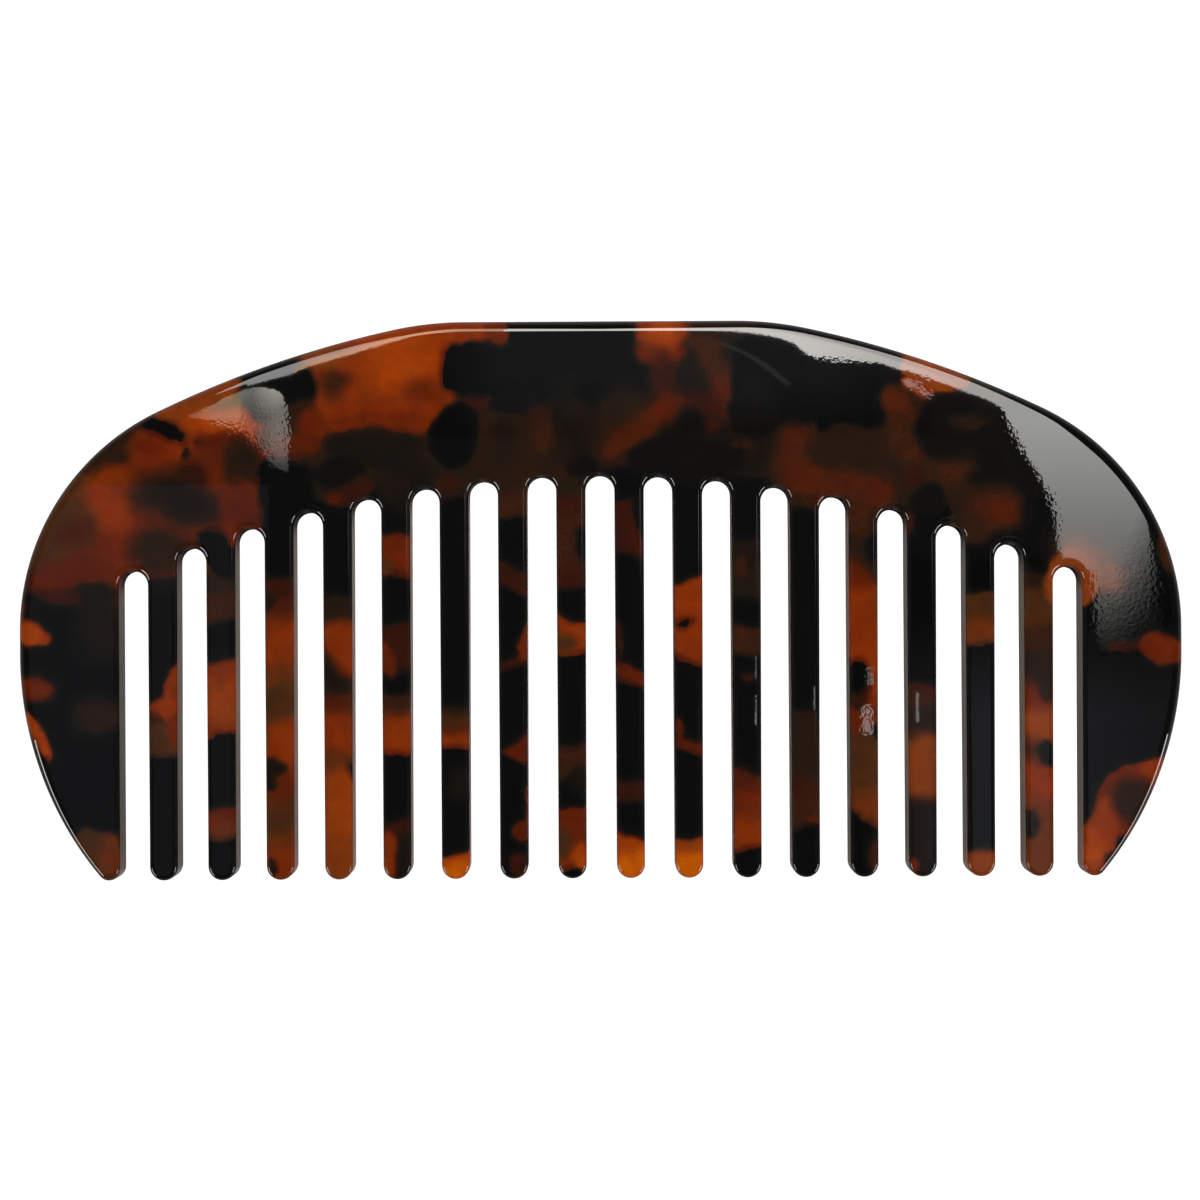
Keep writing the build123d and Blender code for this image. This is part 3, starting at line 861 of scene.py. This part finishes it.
def tortoiseshell():
    """Polished acetate: clear amber to black, crisp-edged black chips, and a faint buffed ripple."""
    material = bpy.data.materials.new("tortoiseshell_acetate")
    material.use_nodes = True
    n = Nodes(material.node_tree)
    place = n.node("ShaderNodeVectorMath", operation="SCALE")
    n.feed(place.inputs[0], n.node("ShaderNodeTexCoord").outputs["Object"])
    place.inputs["Scale"].default_value = 1 / MM
    place = place.outputs[0]

    ragged = n.scaled_noise(place, scale=0.9, detail=4.0, size=0.3)
    ink = n.math("ADD", n.attribute("ink"), ragged)
    inked = n.span(ink, low=-0.10, high=0.14, smooth=True)
    halo = n.span(ink, low=-0.8, high=0.0, to_high=0.22, smooth=True)
    clouds = n.scaled_noise(place, scale=0.30, detail=4.0, size=0.13, distortion=0.8)
    grain = n.scaled_noise(place, scale=1.6, detail=3.0, size=0.04)
    tone = n.math("ADD", n.math("ADD", n.attribute("tone"), clouds), n.math("ADD", halo, grain), clamp=True)
    tint = n.scaled_noise(place, scale=0.3, detail=3.0, size=0.35)
    olive = n.math("ADD", n.attribute("olive"), tint, clamp=True)
    clear = n.mix(olive, n.ramp(tone, RED_TONES), n.ramp(tone, OLIVE_TONES))
    colour = n.mix(inked, clear, BLACK)

    bump = n.node("ShaderNodeBump")
    roughened = PLAIN_RIPPLE
    for x, y, reach, strength in RIPPLE_SPOTS:
        roughened = n.math("ADD", n.near(place, (x, y, THICKNESS), reach, strength), roughened)
    fine = n.math("MULTIPLY", n.scaled_noise(place, scale=2.6, detail=1.0, size=1.0), roughened)
    broad = n.scaled_noise(place, scale=0.35, detail=2.0, size=0.3)
    n.feed(bump.inputs["Height"], n.math("ADD", broad, fine))
    bump.inputs["Strength"].default_value = 1.0
    bump.inputs["Distance"].default_value = RIPPLE_HEIGHT * MM

    shader = n.node("ShaderNodeBsdfPrincipled")
    n.feed(shader.inputs["Base Color"], colour)
    unevenness = n.scaled_noise(place, scale=0.5, detail=3.0, size=0.004)
    n.feed(shader.inputs["Roughness"], n.math("ADD", unevenness, POLISH_ROUGHNESS))
    n.feed(shader.inputs["Normal"], bump.outputs[0])
    shader.inputs["IOR"].default_value = ACETATE_IOR
    output = n.node("ShaderNodeOutputMaterial")
    n.tree.links.new(shader.outputs[0], output.inputs[0])
    return material


# ---------------------------------------------------------------- stage
CAMERA_HEIGHT = 250.0
CAMERA_OFFSET = -0.05  # in x and in y
CAMERA_ROLL_DEGREES = -0.3
SENSOR_WIDTH = 36.0
FACE_TO_CAMERA = CAMERA_HEIGHT - THICKNESS
FIELD_WIDTH = 123.12  # what the picture takes in at the front face
HANG = 246.0  # height of the overhead panels above the comb's face
VEIL_HANG = 300.0  # the faint ones hang behind the rest
FLOOR_HALF_WIDTH = 8000.0
FLOOR_SHOWN_Z, FLOOR_LIT_Z = -0.01, -0.02


def mirror_reach(hang):
    """How much further out a panel hangs than the place on the face where the camera sees it."""
    return 1.0 + hang / FACE_TO_CAMERA


def glow_material(name, colour, strength, fades=(), hang=HANG):
    """Light from a panel.

    Each fade is (heading, start, end, low, high): a factor that runs from low to high along a heading in
    degrees, between two distances over the comb's face as its polish shows them.
    """
    reach = mirror_reach(hang) * MM
    material = bpy.data.materials.new(name)
    material.use_nodes = True
    n = Nodes(material.node_tree)
    glow = n.node("ShaderNodeEmission")
    glow.inputs["Color"].default_value = (*colour, 1.0)
    glow.inputs["Strength"].default_value = strength
    for heading, start, end, low, high in fades:
        along = n.node("ShaderNodeVectorMath", operation="DOT_PRODUCT")
        n.feed(along.inputs[0], n.node("ShaderNodeTexCoord").outputs["Object"])
        turn = math.radians(heading)
        along.inputs[1].default_value = (math.cos(turn), math.sin(turn), 0.0)
        factor = n.span(along.outputs["Value"], start * reach, end * reach, low, high)
        strength = n.math("MULTIPLY", factor, strength)
        n.feed(glow.inputs["Strength"], strength)
    output = n.node("ShaderNodeOutputMaterial")
    n.tree.links.new(glow.outputs[0], output.inputs[0])
    return material


def rectangle(left, bottom, right, top):
    return [(left, bottom), (right, bottom), (right, top), (left, top)]


def flat_stage(name, corners, material):
    """One flat polygon of the stage."""
    mesh = bpy.data.meshes.new(name)
    mesh.from_pydata([tuple(value * MM for value in corner) for corner in corners], [],
                     [tuple(range(len(corners)))])
    mesh.materials.append(material)
    made = bpy.data.objects.new(name, mesh)
    bpy.context.scene.collection.objects.link(made)
    return made


def panel(name, corners, colour, strength, fades=(), hang=HANG):
    """A glowing flat panel that lights the comb and shows in its polish, but not in the picture itself."""
    made = flat_stage(name, corners, glow_material(f"{name}_glow", colour, strength, fades, hang))
    made.visible_camera = False


def overhead(name, face_corners, colour, strength, fades=(), beyond=(), hang=HANG):
    """A panel from corners as the flat face shows them, then corners beyond it in the panel's own plane."""
    reach = mirror_reach(hang)
    corners = [(x * reach, y * reach, THICKNESS + hang) for x, y in face_corners]
    corners += [(x, y, THICKNESS + hang) for x, y in beyond]
    panel(name, corners, colour, strength, fades, hang)


# An upright light past each end of the comb, which shines along the teeth's walls; x is away from the middle.
LOW_LIGHT = [(400, -100, 140), (300, -300, 140), (300, -300, 250), (400, -100, 250)]

# Small bright things overhead that show as streaks on the teeth: x, y, half width, half height, strength.
GLINTS = [
    (16.0, -7.0, 0.12, 1.2, 2.5), (16.0, -11.4, 0.14, 1.5, 4.0), (22.0, -10.2, 0.13, 1.2, 3.5),
    (27.4, -12.5, 0.5, 1.4, 4.5), (27.6, -8.0, 0.2, 0.8, 3.5), (32.5, -11.2, 0.14, 1.5, 3.5),
]


def studio():
    """The lights, each shaped as the comb's polish shows it."""
    overhead("right_softbox",
             [(41.3, 19.4), (42.3, 17.5), (43.5, 15), (45, 12.7), (46.2, 10.5), (46.9, 8), (47, 5),
              (48, 3.2), (50.5, 2.6), (50.8, 1), (51.1, -6), (57.5, -6), (56.8, 3), (56.4, 6.5),
              (55.4, 10.8), (53.6, 14), (51.3, 16.6)],
             colour=(1.0, 0.99, 0.955), strength=8.2,
             fades=[(90, -5.8, 18, 0, 1), (-22, 47.9, 52.8, 1, 0.1)],
             beyond=[(142, 110), (198, 298)])
    overhead("left_softbox",
             [(-36.8, 18), (-35.8, 17.2), (-34.8, 16), (-33.6, 14), (-32, 13.2), (-31.9, 18),
              (-32.1, 20.2), (-32.7, 21.4), (-33.4, 21.8), (-34.8, 22), (-36, 21.85), (-36.8, 21.6)],
             colour=(1.0, 0.95, 0.86), strength=2.7,
             fades=[(112, 30.5, 33.8, 0.45, 1.4), (0, -35.5, -33, 1, 3), (90, 12.8, 17, 0.1, 1)])
    overhead("warm_wedge",
             [(-42.3, 19), (-40, 18.55), (-38.5, 18.3), (-36.8, 18), (-36.8, 21.6), (-38, 21.1),
              (-40, 20.05)],
             colour=(1.0, 0.82, 0.55), strength=4.2, fades=[(0, -42, -39, 0.4, 1)])
    overhead("top_softbox",
             [(-10, 38.5), (3, 37), (7, 33), (10, 29.5), (12, 27.6), (14, 27.45),
              (16, 27.25), (18, 26.85), (19, 26.6), (20, 26.2), (20.8, 25.5), (21.5, 25),
              (22.5, 24.7), (24, 24.5), (26, 24.4), (28, 24.25), (29, 24.1), (30, 23.7),
              (32, 23.2), (34, 22.5), (36, 21.8), (38, 21), (40, 20.2), (41.3, 19.4)],
             colour=(1.0, 0.965, 0.92), strength=14.5, fades=[(0, 20, 38, 1, 0.6)],
             beyond=[(200, 300), (142, 280), (107, 255), (82, 250), (62, 225),
                     (36, 185), (10, 160), (0, 140), (-10, 155), (-20, 171.7)])
    overhead("warm_softbox",
             [(-31.4, 40), (-31.4, 23.4), (-30, 24), (-28, 24.6), (-26, 25.15), (-24, 25.8),
              (-22, 26.35), (-20, 26.9), (-18.3, 27.8), (-16.5, 31), (-14, 39), (-10, 38.5)],
             colour=(1.0, 0.76, 0.52), strength=9.5,
             fades=[(0, -36, -24, 0.72, 1), (0, -20, -13, 1, 0.75)],
             beyond=[(-20, 171.7), (-22, 175), (-37, 170), (-54, 122), (-62.8, 138)])
    overhead("pale_softbox",
             [(-51.5, 48), (-43.5, 35), (-37.5, 25.5), (-36, 22.15), (-34, 22.7), (-32, 23.2),
              (-31.4, 23.4), (-31.4, 40)],
             colour=(0.96, 0.98, 1.0), strength=6.0, beyond=[(-62.8, 138), (-86, 180), (-130, 190)])
    overhead("right_veil", rectangle(22, -30, 62, 4), colour=(0.82, 0.87, 1.0), strength=0.36,
             fades=[(0, 26, 40, 0, 1), (-90, 2, 12, 0, 1), (0, 44, 56, 1, 0.5)],
             hang=VEIL_HANG)
    overhead("left_veil", rectangle(-62, -30, -34, 12), colour=(0.8, 0.86, 1.0), strength=0.15,
             hang=VEIL_HANG)
    overhead("crown_veil", rectangle(-18, 17, 34, 28), colour=(0.85, 0.93, 1.0), strength=0.16,
             fades=[(90, 17, 23, 0, 1), (0, -18, -10, 0, 1), (0, 24, 34, 1, 0)],
             hang=VEIL_HANG)
    overhead("shoulder_streak",
             [(31, 22.4), (31.4, 21.9), (32.6, 21.3), (33.8, 20.6), (34.4, 20.8), (33, 21.9),
              (32, 22.5)],
             colour=(1.0, 0.97, 0.9), strength=3.6)
    overhead("crown_streak",
             [(12, 26.5), (15, 25.5), (17.2, 24.2), (19.7, 22.1), (19.3, 21.8), (16.8, 23.8),
              (14.8, 25.1)],
             colour=(1.0, 1.0, 1.0), strength=0.45)
    for x, y, half_width, half_height, strength in GLINTS:
        corners = rectangle(x - half_width, y - half_height, x + half_width, y + half_height)
        overhead(f"glint_{x:.0f}_{-y:.0f}", corners, colour=(1.0, 0.95, 0.88), strength=strength)
    for side, name in ((-1, "left_low_light"), (1, "right_low_light")):
        corners = [(side * x, y, z) for x, y, z in LOW_LIGHT]
        panel(name, corners, colour=(1.0, 0.99, 0.98), strength=11.0)


def floor_plane(name, height, material):
    half = FLOOR_HALF_WIDTH
    return flat_stage(name, [(x, y, height) for x, y in rectangle(-half, -half, half, half)], material)


def floor():
    """A white table: one plane is what the picture shows, the other is what lights the comb's walls."""
    white = glow_material("floor_white", colour=(1.0, 1.0, 1.0), strength=1.1)
    shown = floor_plane("floor_shown", FLOOR_SHOWN_Z, white)
    shown.visible_diffuse = False
    shown.visible_glossy = False
    shown.visible_shadow = False
    material = bpy.data.materials.new("floor_grey")
    material.use_nodes = True
    shader = material.node_tree.nodes["Principled BSDF"]
    shader.inputs["Base Color"].default_value = (0.34, 0.31, 0.295, 1.0)
    shader.inputs["Roughness"].default_value = 0.9
    lit = floor_plane("floor_lit", FLOOR_LIT_Z, material)
    lit.visible_camera = False


def surroundings():
    """Dark overhead, pale near the horizon."""
    world = bpy.data.worlds.new("studio")
    world.use_nodes = True
    n = Nodes(world.node_tree)
    parts = n.node("ShaderNodeSeparateXYZ")
    n.feed(parts.inputs[0], n.node("ShaderNodeTexCoord").outputs["Generated"])
    sky = n.node("ShaderNodeBackground")
    sky.inputs["Color"].default_value = (1.0, 0.99, 0.98, 1.0)
    strength = n.span(parts.outputs["Z"], low=0.15, high=0.6, to_low=0.3, to_high=0.03, smooth=True)
    n.feed(sky.inputs["Strength"], strength)
    output = n.node("ShaderNodeOutputWorld")
    n.tree.links.new(sky.outputs[0], output.inputs[0])
    bpy.context.scene.world = world


def camera():
    """Straight above the comb, with the field of view that fits it to the picture."""
    data = bpy.data.cameras.new("camera")
    data.sensor_width = SENSOR_WIDTH
    data.lens = SENSOR_WIDTH * FACE_TO_CAMERA / FIELD_WIDTH
    made = bpy.data.objects.new("camera", data)
    bpy.context.scene.collection.objects.link(made)
    made.location = (CAMERA_OFFSET * MM, CAMERA_OFFSET * MM, CAMERA_HEIGHT * MM)
    made.rotation_euler = (0.0, 0.0, math.radians(CAMERA_ROLL_DEGREES))
    bpy.context.scene.camera = made


camera()
studio()
floor()
surroundings()
bpy.context.scene.view_settings.view_transform = "Standard"

acetate = tortoiseshell()
for node, paths in piece_edges().items():
    polished_skin(node, paths, acetate)
